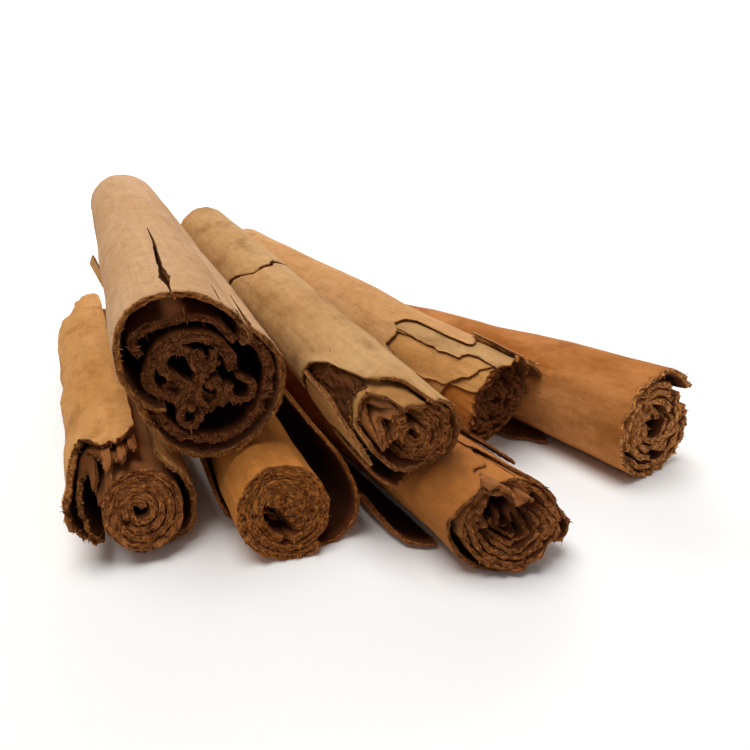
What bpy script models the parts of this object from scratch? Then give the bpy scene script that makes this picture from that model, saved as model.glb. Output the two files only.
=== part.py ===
"""Seven rolled quills of Ceylon cinnamon, lying in a fan on a table.

Four quills lie on the table, one leans on its neighbours, one lies over those, and the thick top
quill rests in the valley between the two at the left. Each quill is several sheets of dried bark
rolled inside one another, and every sheet is a solid of its own.

World axes: +X right, +Y away from the cut front ends, +Z up. The table is z = 0.
Each quill has an empty at the middle of its front end. In the empty's own axes X is to the right,
Y runs along the quill to its back end and Z is up, and the bark sheets are drawn in those axes.
Sizes below are millimetres and degrees. Angles in a cross-section run anticlockwise from +X, as
seen from the front.
"""
import math

import bmesh
import bpy
from mathutils import Matrix, Vector

MM = 0.001

# Driving dimensions of the quills: front end's middle (x, y, z), turn to the left, rise towards
# the back, length, and how much narrower or wider the back end is than the front end.
PILE_MIDDLE = (-10.72, 107.79)
QUILLS = {
    "top_quill": {"front": (-20.5, 65.6, 23.4), "turn": 25.5, "rise": 7.4, "length": 88, "taper": 0.72},
    "left_quill": {"front": (-29.6, 63.2, 7.2), "turn": 26.3, "rise": 0.2, "length": 86, "taper": 1.03},
    "gutter_quill": {"front": (-10.9, 62.6, 6.2), "turn": 24.9, "rise": 0.0, "length": 85, "taper": 1.0},
    "torn_quill": {"front": (3.8, 64.3, 16.8), "turn": 29.6, "rise": 8.6, "length": 86, "taper": 1.08},
    "chipped_quill": {"front": (18.4, 88.4, 10.7), "turn": 38.6, "rise": 8.0, "length": 83, "taper": 0.94},
    "front_quill": {"front": (15.0, 59.7, 6.4), "turn": 29.6, "rise": 0.0, "length": 85, "taper": 0.98},
    "right_quill": {"front": (42.7, 82.6, 8.75), "turn": 33.6, "rise": -1.7, "length": 85, "taper": 0.72},
}

# Thickness of the sheets.
BARK = 0.8
INNER_BARK = 0.7
THIN_BARK = 0.6
FLAKE = 0.5

# Open breaks: the long split on top of the top quill, and the crack round the torn quill.
SPLIT_WIDTH = 0.7
SPLIT_LENGTH = 26
SPLIT_DEPTH = 5
CRACK_WIDTH = 0.6

# A sheet that comes this close to the table is pressed flat on it.
SETTLE = 0.16

# Degrees between the knots of a spiral, and steps used to measure along an outline.
SPIRAL_STEP = 30
FINE_STEPS = 400

COLOURS = {
    "outer_bark": ((0.50, 0.27, 0.12), 0.75),
    "inner_bark": ((0.20, 0.09, 0.04), 0.85),
    "rolled_core": ((0.27, 0.13, 0.06), 0.90),
}


def clear_scene():
    for item in list(bpy.data.objects):
        bpy.data.objects.remove(item, do_unlink=True)


def bark_material(name, kind):
    colour, roughness = COLOURS[kind]
    material = bpy.data.materials.new(name)
    material.use_nodes = True
    shader = material.node_tree.nodes["Principled BSDF"]
    shader.inputs["Base Color"].default_value = (*colour, 1.0)
    shader.inputs["Roughness"].default_value = roughness
    shader.inputs["Metallic"].default_value = 0.0
    return material


def quill_empty(name, collection):
    quill = QUILLS[name]
    x, y, z = quill["front"]
    empty = bpy.data.objects.new(name, None)
    empty.empty_display_size = 0.01
    empty.location = Vector((x - PILE_MIDDLE[0], y - PILE_MIDDLE[1], z)) * MM
    empty.rotation_euler = (math.radians(quill["rise"]), 0.0, math.radians(quill["turn"]))
    collection.objects.link(empty)


def polar(*knots):
    """Turn (angle, radius) pairs into (x, z) points of a cross-section."""
    return [(r * math.cos(math.radians(a)), r * math.sin(math.radians(a))) for a, r in knots]


def spiral(centre, outer, pitch, turns, start):
    """Points of a spiral that winds inwards, clockwise from its start angle."""
    points = []
    for step in range(round(turns * 360 / SPIRAL_STEP) + 1):
        angle = math.radians(start - SPIRAL_STEP * step)
        radius = outer - pitch * step * SPIRAL_STEP / 360
        points.append((centre[0] + radius * math.cos(angle), centre[1] + radius * math.sin(angle)))
    return points[::-1]


def skew_cut(points, middle, by_x, by_z):
    """Places of a broken end that isn't square: by_x and by_z are its slopes."""
    return [middle + by_x * x + by_z * z for x, z in points]


def spread(value, count):
    return list(value) if isinstance(value, (list, tuple)) else [value] * count


def curve_point(knots, place):
    """Catmull-Rom point at a place counted in knots; edges of the sheet are joined straight."""
    index = min(int(place), len(knots) - 2)
    t = place - index
    a, b = knots[index], knots[index + 1]
    before = knots[index - 1] if index else a
    after = knots[index + 2] if index + 2 < len(knots) else b
    values = []
    for k in range(4):
        slope_a, slope_b = (b[k] - before[k]) / 2, (after[k] - a[k]) / 2
        rise = b[k] - a[k]
        values.append(a[k] + t * slope_a + t * t * (3 * rise - 2 * slope_a - slope_b)
                      + t ** 3 * (slope_a + slope_b - 2 * rise))
    return values + [a[k] + t * (b[k] - a[k]) for k in (4, 5)]


def columns_of(knots, count):
    """Sheet columns spaced evenly along the front outline."""
    fine = [curve_point(knots, (len(knots) - 1) * step / FINE_STEPS) for step in range(FINE_STEPS + 1)]
    run = [0.0]
    for here, there in zip(fine, fine[1:]):
        run.append(run[-1] + math.dist(here[:2], there[:2]))
    places = []
    for step in range(count + 1):
        goal = run[-1] * step / count
        places.append(fine[min(range(FINE_STEPS + 1), key=lambda k: abs(run[k] - goal))])
    return places


def bark_sheet(name, quill_name, kind, outline, thickness, columns, starts=0, ends=None, back=None,
               shrink=None, side=1):
    """One rolled sheet of bark: a grid bent to the outline, then thickened.

    outline and back are its cross-sections at the two ends; without a back, the outline narrows by
    shrink. starts and ends say where its two broken edges lie along the quill. side is 1 where the
    outline is the outer face, 0 where it is the middle of the sheet.
    """
    quill = QUILLS[quill_name]
    shrink = quill["taper"] if shrink is None else shrink
    back = back or [(x * shrink, z * shrink) for x, z in outline]
    starts = spread(starts, len(outline))
    ends = spread(quill["length"] if ends is None else ends, len(outline))
    knots = [(*f, *b, s, e) for f, b, s, e in zip(outline, back, starts, ends)]
    places = columns_of(knots, columns)

    empty = bpy.data.objects[quill_name]
    place = Matrix.LocRotScale(empty.location, empty.rotation_euler, None)
    grid = bmesh.new()
    bmesh.ops.create_grid(grid, x_segments=columns, y_segments=1, size=0.5)
    for vert in grid.verts:
        front_x, front_z, back_x, back_z, start, end = places[round((vert.co.x + 0.5) * columns)]
        along = end if vert.co.y > 0 else start
        t = along / quill["length"]
        point = Vector((front_x + (back_x - front_x) * t, along, front_z + (back_z - front_z) * t))
        point = place @ (point * MM)
        if point.z < SETTLE * MM:
            point.z = 0.0
        vert.co = place.inverted() @ point
    mesh = bpy.data.meshes.new(name)
    grid.to_mesh(mesh)
    grid.free()

    sheet = bpy.data.objects.new(name, mesh)
    mesh.materials.append(bark_material(name + "_finish", kind))
    sheet.parent = empty
    solidify = sheet.modifiers.new("thickness", "SOLIDIFY")
    solidify.thickness = thickness * MM
    solidify.offset = side
    solidify.use_even_offset = True
    bpy.data.collections["cinnamon_stack"].objects.link(sheet)
    return sheet


def top_quill():
    """Thick quill: two half shells outside, a second sheet and a hooked sheet, loose scrolls inside."""
    shell = polar((41, 7.6), (60, 8.6), (80, 9.7), (100, 10.5), (122, 11.2), (142, 10.7), (162, 9.6),
                  (180, 8.6), (196, 7.9), (210, 6.9), (228, 6.0))
    shell_back = polar((41, 7.7), (60, 7.7), (80, 7.7), (100, 7.7), (122, 7.7), (142, 7.7), (162, 7.7),
                       (180, 7.6), (196, 6.9), (210, 5.7), (228, 5.3))
    left = bark_sheet("top_quill_left_bark", "top_quill", "outer_bark", shell, BARK, back=shell_back,
                      columns=26)
    split = bpy.data.meshes.new("top_quill_split")
    block = bmesh.new()
    bmesh.ops.create_cube(block, size=1.0)
    bmesh.ops.scale(block, vec=Vector((SPLIT_WIDTH, SPLIT_LENGTH, SPLIT_DEPTH)) * MM, verts=block.verts)
    block.to_mesh(split)
    block.free()
    cutter = bpy.data.objects.new("top_quill_split", split)
    cutter.parent = bpy.data.objects["top_quill"]
    cutter.location = Vector((-1.7, 17, 9.6)) * MM
    cutter.rotation_euler = (math.radians(-2), 0, 0)
    cutter.hide_render = True
    cutter.display_type = "WIRE"
    bpy.data.collections["cutters"].objects.link(cutter)
    cut = left.modifiers.new("split", "BOOLEAN")
    cut.object = cutter
    cut.operation = "DIFFERENCE"

    outside = polar((-152, 8.5), (-136, 9.2), (-120, 10.2), (-101, 11.4), (-83, 12.1), (-62, 12.2),
                    (-40, 11.8), (-20, 11.1), (0, 10.4), (15, 9.6), (27, 8.9), (37, 8.3))
    outside_back = polar((-152, 7.7), (-136, 7.7), (-120, 7.7), (-101, 7.7), (-83, 7.7), (-62, 7.7),
                         (-40, 7.7), (-20, 7.7), (0, 7.7), (15, 7.7), (27, 7.7), (36, 7.7))
    bark_sheet("top_quill_right_bark", "top_quill", "outer_bark", outside, BARK, back=outside_back,
               columns=28)
    second = polar((-138, 7.85), (-120, 8.75), (-101, 10.0), (-83, 10.7), (-62, 10.8), (-40, 10.4),
                   (-20, 9.7), (0, 9.0), (15, 8.2), (27, 7.5))
    second_back = polar((-138, 6.45), (-120, 6.45), (-101, 6.45), (-83, 6.45), (-62, 6.4), (-40, 6.4),
                        (-20, 6.4), (0, 6.4), (15, 6.4), (27, 6.4))
    bark_sheet("top_quill_second_bark", "top_quill", "inner_bark", second, INNER_BARK,
               back=second_back, starts=0.5, columns=24)
    hook = polar((32, 6.2), (46, 6.1), (62, 6.5), (82, 6.6), (102, 6.5), (118, 6.8), (130, 7.6),
                 (145, 8.3), (156, 7.9), (166, 6.7))
    hook_back = polar((32, 6.3), (46, 6.3), (62, 6.4), (82, 6.4), (102, 6.4), (118, 6.4), (130, 6.4),
                      (145, 6.4), (156, 6.4), (166, 6.2))
    bark_sheet("top_quill_hook_bark", "top_quill", "inner_bark", hook, BARK, back=hook_back, starts=3,
               columns=20)

    arch = polar((-4, 4.6), (18, 4.2), (40, 4.4), (61, 4.6), (83, 4.7), (104, 4.8), (124, 4.9),
                 (145, 5.1), (165, 5.3), (185, 5.6), (205, 5.6), (232, 4.6))
    bark_sheet("top_quill_arched_scroll", "top_quill", "rolled_core", arch, BARK, starts=1.5, columns=22)
    eye = [(-2.2 + x, 0.6 + z) for x, z in polar(
        *[(angle, 0.95) for angle in range(70, 396, 54)])]
    bark_sheet("top_quill_eye_scroll", "top_quill", "rolled_core", eye, INNER_BARK, starts=1.5, side=0,
               columns=12)
    crook = [(0.5, 2.2), (0.9, 0.6), (0.2, -1.0), (-0.6, -2.6), (-0.6, -4.2), (0.5, -5.4), (1.9, -5.2),
             (2.6, -4.0), (2.1, -2.8), (1.1, -2.8)]
    bark_sheet("top_quill_crooked_scroll", "top_quill", "rolled_core", crook, INNER_BARK, starts=1.5,
               side=0, shrink=0.6, columns=20)
    for part, middle, radius in (("side_ring", (5.7, -3.7), 1.4), ("low_ring", (-1.9, -6.9), 1.0)):
        ring = [(middle[0] + x, middle[1] + z) for x, z in polar(
            *[(angle, radius) for angle in range(130, 451, 32)])]
        bark_sheet("top_quill_" + part, "top_quill", "rolled_core", ring, THIN_BARK, starts=1, side=0,
                   shrink=0.6, columns=12)


def left_quill():
    """Quill at the left: torn outer sheet, bulging right sheet, a sheet between, and a tight core."""
    shell = polar((76, 7.2), (84, 7.2), (94, 7.2), (110, 7.2), (119, 7.3), (126, 7.3), (136, 7.4),
                  (143, 7.5), (160, 7.6), (180, 7.5), (202, 7.2), (222, 6.8))
    bark_sheet("left_quill_bark", "left_quill", "outer_bark", shell, THIN_BARK,
               starts=[7, 2, -1, 0, 4, 8, 8, 1, 0, 0, 0, 0],
               ends=[87, 89, 89, 86, 85, 79, 77, 76, 76, 76, 80, 82], columns=24)
    bulge = polar((-108, 6.4), (-95, 7.1), (-75, 7.3), (-60, 7.7), (-45, 8.2), (-30, 8.2), (-17, 7.7),
                  (0, 7.3), (20, 7.0), (40, 7.1), (61, 7.2))
    bark_sheet("left_quill_right_bark", "left_quill", "outer_bark", bulge, THIN_BARK,
               starts=[0, 0, 0, 0, 0, 0, 0, 0, 1, 1, 2], columns=24)
    second = polar((128, 6.2), (150, 6.4), (165, 6.3), (180, 6.1), (200, 5.9), (212, 5.8), (222, 5.8))
    bark_sheet("left_quill_second_bark", "left_quill", "inner_bark", second, THIN_BARK,
               starts=[3, 0, -1, -1, -1, -1, -1], ends=80, columns=14)
    core = spiral((0.9, -0.8), 4.4, 1.15, 2.8, 160)
    bark_sheet("left_quill_core", "left_quill", "rolled_core", core, BARK,
               starts=skew_cut(core, -0.8, 0.0, 0.4), side=0, columns=42)


def gutter_quill():
    """Quill with a wide open gutter of outer bark at its right, and a smooth tight roll in it."""
    gutter = polar((302, 7.25), (311, 8.1), (325, 9.3), (340, 9.8), (356, 9.8), (372, 9.8), (394, 10.0),
                   (410, 10.4))
    gutter_back = polar((302, 7.25), (311, 7.6), (325, 7.9), (340, 8.0), (356, 7.9), (372, 7.9),
                        (394, 8.1), (410, 8.3))
    bark_sheet("gutter_quill_bark", "gutter_quill", "outer_bark", gutter, THIN_BARK, back=gutter_back,
               starts=[0, 0, 0, 0, 0, 1, 3, 8], columns=20)
    flap = polar((166, 7.7), (180, 7.4), (196, 7.2), (214, 7.2), (230, 7.4))
    bark_sheet("gutter_quill_left_flap", "gutter_quill", "outer_bark", flap, THIN_BARK,
               starts=[18, 12, 9, 8, 9], columns=10)
    roll = spiral((0.0, 0.0), 6.3, 1.15, 3.8, 308)
    bark_sheet("gutter_quill_roll", "gutter_quill", "outer_bark", roll, BARK,
               starts=skew_cut(roll, 0.3, -0.1, 0.25), columns=60)


def torn_quill():
    """Quill torn open at its front left, with a curled strip, a second sheet, a core and a flake."""
    shell = polar((-60, 6.0), (-30, 6.1), (0, 6.0), (30, 5.8), (60, 5.8), (88, 5.8), (95, 5.8),
                  (115, 5.8), (127, 5.8), (138, 5.8), (148, 5.8), (170, 5.8), (192, 5.8), (214, 5.8))
    crack = [48, 48, 47, 46.5, 46, 45, 44.5, 44, 44, 46, 47, 50, 50, 50]
    bark_sheet("torn_quill_bark", "torn_quill", "outer_bark", shell, THIN_BARK,
               starts=[-1, -2, -2, -2, -2, -2, 1, 4, 6, 10, 15, 17, 18, 18], ends=crack, columns=28)
    bark_sheet("torn_quill_rear_bark", "torn_quill", "outer_bark", shell, THIN_BARK,
               starts=[place + CRACK_WIDTH for place in crack], columns=28)
    strip = polar((172, 5.8), (180, 5.8), (192, 5.8), (204, 5.8), (216, 5.8))
    bark_sheet("torn_quill_strip", "torn_quill", "outer_bark", strip, FLAKE,
               starts=[13, 9, 5, 0, -1], ends=16, columns=8)
    second = polar((98, 4.8), (118, 4.8), (140, 4.8), (184, 4.8), (200, 4.8), (216, 4.8), (250, 4.8),
                   (290, 4.8), (325, 4.8))
    bark_sheet("torn_quill_second_bark", "torn_quill", "outer_bark", second, THIN_BARK,
               starts=[-2, 0, 4.4, 4.4, 1, 0, -1.5, -2, -2], columns=20)
    core = spiral((0.0, 0.0), 3.45, 1.1, 2.3, 20)
    bark_sheet("torn_quill_core", "torn_quill", "rolled_core", core, INNER_BARK,
               starts=skew_cut(core, -1.5, -0.3, 0.0), side=0, columns=34)
    flake = polar((222, 6.4), (238, 7.0), (254, 7.4), (268, 7.4), (280, 6.9))
    bark_sheet("torn_quill_under_flake", "torn_quill", "inner_bark", flake, FLAKE,
               starts=[2, 0, -1, -1, 0], ends=14, columns=8)


def chipped_quill():
    """Quill whose outer sheet has flaked off near the front, down to the sheet below."""
    middle = (1.0, -0.9)

    def around(*knots):
        return [(middle[0] + x, middle[1] + z) for x, z in polar(*knots)]

    def around_back(*knots):
        return [(x * 0.96, z * 0.96) for x, z in polar(*knots)]

    angles = ((-150, 7.6), (-120, 7.6), (-85, 7.6), (-50, 7.7), (-15, 7.8), (20, 7.7), (50, 7.6),
              (74, 7.6), (82, 7.6), (104, 7.6), (110, 7.6), (135, 7.6), (165, 7.6), (188, 7.6))
    bark_sheet("chipped_quill_bark", "chipped_quill", "outer_bark", around(*angles), FLAKE,
               back=around_back(*angles), starts=[2, 1, 0, 0, 0, 0, -1, -1, 5, 6, 18, 20, 20, 14],
               columns=30)
    inner = tuple((angle, 6.65) for angle in range(100, 431, 30))
    bark_sheet("chipped_quill_inner_bark", "chipped_quill", "outer_bark", around(*inner), THIN_BARK,
               back=around_back(*inner), starts=-1, columns=26)
    core = spiral(middle, 5.25, 1.2, 2.6, 60)
    bark_sheet("chipped_quill_core", "chipped_quill", "rolled_core", core, BARK, starts=-0.5, side=0,
               back=[((x - middle[0]) * 0.94, (z - middle[1]) * 0.94) for x, z in core], columns=42)
    sliver = around((56, 8.5), (64, 8.4), (74, 8.6))
    bark_sheet("chipped_quill_sliver", "chipped_quill", "outer_bark", sliver, FLAKE, shrink=1.0,
               starts=[-1, -5, -3], ends=8, columns=4)


def front_quill():
    """Quill at the front: smooth outer sheet, layered core, a loose gutter below and a side flake."""
    middle = (0.3, 0.0)

    def around(*knots):
        return [(middle[0] + x, middle[1] + z) for x, z in polar(*knots)]

    shell = around((80, 6.4), (88, 6.4), (104, 6.4), (112, 6.4), (130, 6.4), (170, 6.4), (210, 6.4),
                   (250, 6.4), (290, 6.4), (330, 6.4), (370, 6.4), (410, 6.4), (432, 6.4))
    bark_sheet("front_quill_bark", "front_quill", "outer_bark", shell, THIN_BARK,
               starts=[9, 6, 4, 0, 1, 2, 2, 1, -1, -2, -2, -1, 4], columns=30)
    core = spiral(middle, 5.0, 1.2, 2.8, 75)
    bark_sheet("front_quill_core", "front_quill", "rolled_core", core, BARK,
               starts=skew_cut(core, -0.6, -0.45, 0.2), side=0, columns=44)
    gutter = [(-7.9, -3.0), (-7.4, -4.6), (-6.2, -5.9), (-4.3, -6.4)]
    bark_sheet("front_quill_gutter", "front_quill", "inner_bark", gutter, FLAKE,
               starts=[13, 9, 8, 9], shrink=0.9, columns=8)
    flake = [(8.3, -3.9), (9.4, -3.4), (9.9, -1.8), (8.9, 0.2), (7.7, 1.7)]
    bark_sheet("front_quill_side_flake", "front_quill", "inner_bark", flake, FLAKE, starts=-1,
               ends=5, columns=6)


def right_quill():
    """Quill at the right: outer bark with an overhanging hook, an open scroll and a pointed flap."""
    shell = polar((35, 8.7), (60, 8.7), (90, 8.7), (130, 8.7), (170, 8.7), (210, 8.7), (250, 8.7),
                  (290, 8.7), (330, 8.7), (352, 8.55), (371, 8.1))
    bark_sheet("right_quill_bark", "right_quill", "outer_bark", shell, BARK,
               starts=[-1, -0.5, 0, 0, 0, 0, 0, 0, 0, 0, 0], columns=32)
    scroll = spiral((0.0, 0.0), 6.0, 1.5, 2.9, 10)
    bark_sheet("right_quill_scroll", "right_quill", "rolled_core", scroll, BARK, side=0, columns=46)
    flap = polar((218, 10.0), (228, 10.2), (237, 10.1), (244, 9.7))
    bark_sheet("right_quill_flap", "right_quill", "inner_bark", flap, FLAKE,
               starts=[30, 17, 20, 32], ends=56, columns=6)


def main():
    clear_scene()
    stack = bpy.data.collections.new("cinnamon_stack")
    cutters = bpy.data.collections.new("cutters")
    for collection in (stack, cutters):
        bpy.context.scene.collection.children.link(collection)
    for name in QUILLS:
        quill_empty(name, stack)
    top_quill()
    left_quill()
    gutter_quill()
    torn_quill()
    chipped_quill()
    front_quill()
    right_quill()
    bpy.context.view_layer.update()


main()
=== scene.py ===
import math

import bmesh
import bpy
import numpy as np
from mathutils import Euler, Matrix, Vector

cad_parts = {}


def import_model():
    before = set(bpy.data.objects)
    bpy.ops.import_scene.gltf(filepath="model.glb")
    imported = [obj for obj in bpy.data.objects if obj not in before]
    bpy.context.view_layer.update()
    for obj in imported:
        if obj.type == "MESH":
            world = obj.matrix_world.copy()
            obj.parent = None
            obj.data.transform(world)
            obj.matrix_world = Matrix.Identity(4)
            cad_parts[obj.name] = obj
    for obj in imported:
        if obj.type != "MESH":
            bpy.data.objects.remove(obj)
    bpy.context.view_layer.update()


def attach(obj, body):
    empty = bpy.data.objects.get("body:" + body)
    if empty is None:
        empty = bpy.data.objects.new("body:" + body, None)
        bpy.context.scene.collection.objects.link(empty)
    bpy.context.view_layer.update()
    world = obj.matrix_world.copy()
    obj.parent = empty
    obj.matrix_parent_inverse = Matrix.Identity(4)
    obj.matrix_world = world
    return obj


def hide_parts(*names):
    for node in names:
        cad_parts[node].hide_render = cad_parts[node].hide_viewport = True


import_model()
MM = 0.001

# Camera. It stands a little over the quills' cut ends and looks down along the fan.
camera = bpy.data.objects.new("camera", bpy.data.cameras.new("camera"))
camera.data.lens = 28.72
camera.data.sensor_width = 36
camera.data.clip_start = 0.005
camera.location = Vector((10.7, -107.8, 48.25)) * MM
camera.rotation_euler = (math.radians(69.16), 0, 0)
bpy.context.scene.collection.objects.link(camera)
bpy.context.scene.camera = camera


# Table and backdrop. A sheet of white card lies on the table and is swept up behind the stack.
def linear(colour):
    """An sRGB hex colour as the linear values that a shader takes."""
    parts = [int(colour[k:k + 2], 16) / 255 for k in (1, 3, 5)]
    return [p / 12.92 if p <= 0.04045 else ((p + 0.055) / 1.055) ** 2.4 for p in parts] + [1]


def add(tree, kind, links=(), inputs=(), **settings):
    """A shader node with its settings, its socket values and its links."""
    made = tree.nodes.new(kind)
    for key, value in settings.items():
        setattr(made, key, value)
    for socket, value in dict(inputs).items():
        made.inputs[socket].default_value = value
    for socket, source in dict(links).items():
        tree.links.new(source, made.inputs[socket])
    return made


def blank_material(name):
    """A material with only its output; returns the material and its node tree."""
    material = bpy.data.materials.new(name)
    material.use_nodes = True
    material.node_tree.nodes.clear()
    return material, material.node_tree


sweep = bmesh.new()
bmesh.ops.create_grid(sweep, x_segments=1, y_segments=60, size=1.5)
for vert in sweep.verts:
    if vert.co.y > 0.35:
        bend = min((vert.co.y - 0.35) / 0.5, math.pi / 2)
        rest = vert.co.y - 0.35 - 0.5 * bend
        vert.co.y = 0.35 + 0.5 * math.sin(bend)
        vert.co.z = 0.5 * (1 - math.cos(bend)) + rest
    vert.co.z -= 0.00002
card_mesh = bpy.data.meshes.new("white_card")
sweep.to_mesh(card_mesh)
sweep.free()
card_mesh.polygons.foreach_set("use_smooth", [True] * len(card_mesh.polygons))
card = bpy.data.objects.new("white_card", card_mesh)
bpy.context.scene.collection.objects.link(card)
# Matt white card: coated paper with no gloss, so that no highlight shows.
card_paper, tree = blank_material("matt_white_card")
shader = add(tree, "ShaderNodeBsdfPrincipled",
             inputs={"Base Color": linear("#F4F3F1"), "Roughness": 0.95, "Specular IOR Level": 0.1})
add(tree, "ShaderNodeOutputMaterial", links={"Surface": shader.outputs["BSDF"]})
card_mesh.materials.append(card_paper)

# Light. One wide soft lamp over the back left of the stack, and a pale room all round.
def lamp(name, energy, size, place, aim):
    light = bpy.data.lights.new(name, "AREA")
    light.energy = energy
    light.shape = "DISK"
    light.size = size
    holder = bpy.data.objects.new(name, light)
    holder.location = place
    holder.rotation_euler = (Vector(aim) - Vector(place)).to_track_quat("-Z", "Y").to_euler()
    bpy.context.scene.collection.objects.link(holder)


lamp("sky_panel", 6.0, 0.6, (-0.14, -0.07, 0.78), (0, 0, 0))
lamp("backdrop_panel", 8.0, 0.8, (0.0, 0.65, 0.75), (0.0, 1.25, 0.2))
room = bpy.data.worlds.new("pale_room")
room.use_nodes = True
room.node_tree.nodes["Background"].inputs["Color"].default_value = (1, 1, 1, 1)
room.node_tree.nodes["Background"].inputs["Strength"].default_value = 0.26
bpy.context.scene.world = room
bpy.context.scene.view_settings.view_transform = "Standard"


# Top quill: a thick roll, the oldest bark. Two half shells of bark stand round a second sheet, a
# hooked sheet and a heap of small scrolls. It was rolled by hand, dried, and sawn at its front end.
def lie(x, y, z, turn, rise):
    """Where a quill lies: the middle of its front end, its turn to the left and its rise."""
    turned = Euler((math.radians(rise), 0, math.radians(turn)))
    return Matrix.LocRotScale(Vector((x, y, z)) * MM, turned, None)


def polar(*knots):
    """(angle, radius) pairs as points of a quill's cross-section, in millimetres."""
    return [(r * math.cos(math.radians(a)), r * math.sin(math.radians(a))) for a, r in knots]


def lumps(points, size, seed):
    """Smooth random heights from -1 to 1, with about one lump in every size millimetres."""
    table = np.random.default_rng(seed).uniform(-1, 1, (24, 24, 24))
    places = points / np.broadcast_to(np.asarray(size, float), 3) + 400.5
    cell = np.floor(places).astype(int)
    t = places - cell
    t = t * t * (3 - 2 * t)
    height = np.zeros(len(points))
    for corner in np.ndindex(2, 2, 2):
        weight = np.prod(np.where(corner, t, 1 - t), axis=1)
        x, y, z = ((cell + corner) % 24).T
        height += weight * table[x, y, z]
    return height


def smooth_run(knots):
    """The curve through the knots at 2001 even steps: columns of the knots, and its length."""
    knots = np.array(knots, float)
    place = np.linspace(0, len(knots) - 1, 2001)
    index = np.minimum(place.astype(int), len(knots) - 2)
    t = (place - index)[:, None]
    a, b = knots[index], knots[index + 1]
    slope_a = (b - knots[np.maximum(index - 1, 0)]) / 2
    slope_b = (knots[np.minimum(index + 2, len(knots) - 1)] - a) / 2
    curve = a + t * slope_a + t ** 2 * (3 * (b - a) - 2 * slope_a - slope_b)
    curve += t ** 3 * (slope_a + slope_b - 2 * (b - a))
    curve[:, 4:] = (a + t * (b - a))[:, 4:]
    run = np.concatenate([[0], np.cumsum(np.hypot(*np.diff(curve[:, :2], axis=0).T))])
    even = np.linspace(0, run[-1], 2001)
    return np.column_stack([np.interp(even, run, column) for column in curve.T]), run[-1]


torn_rims = []


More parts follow.
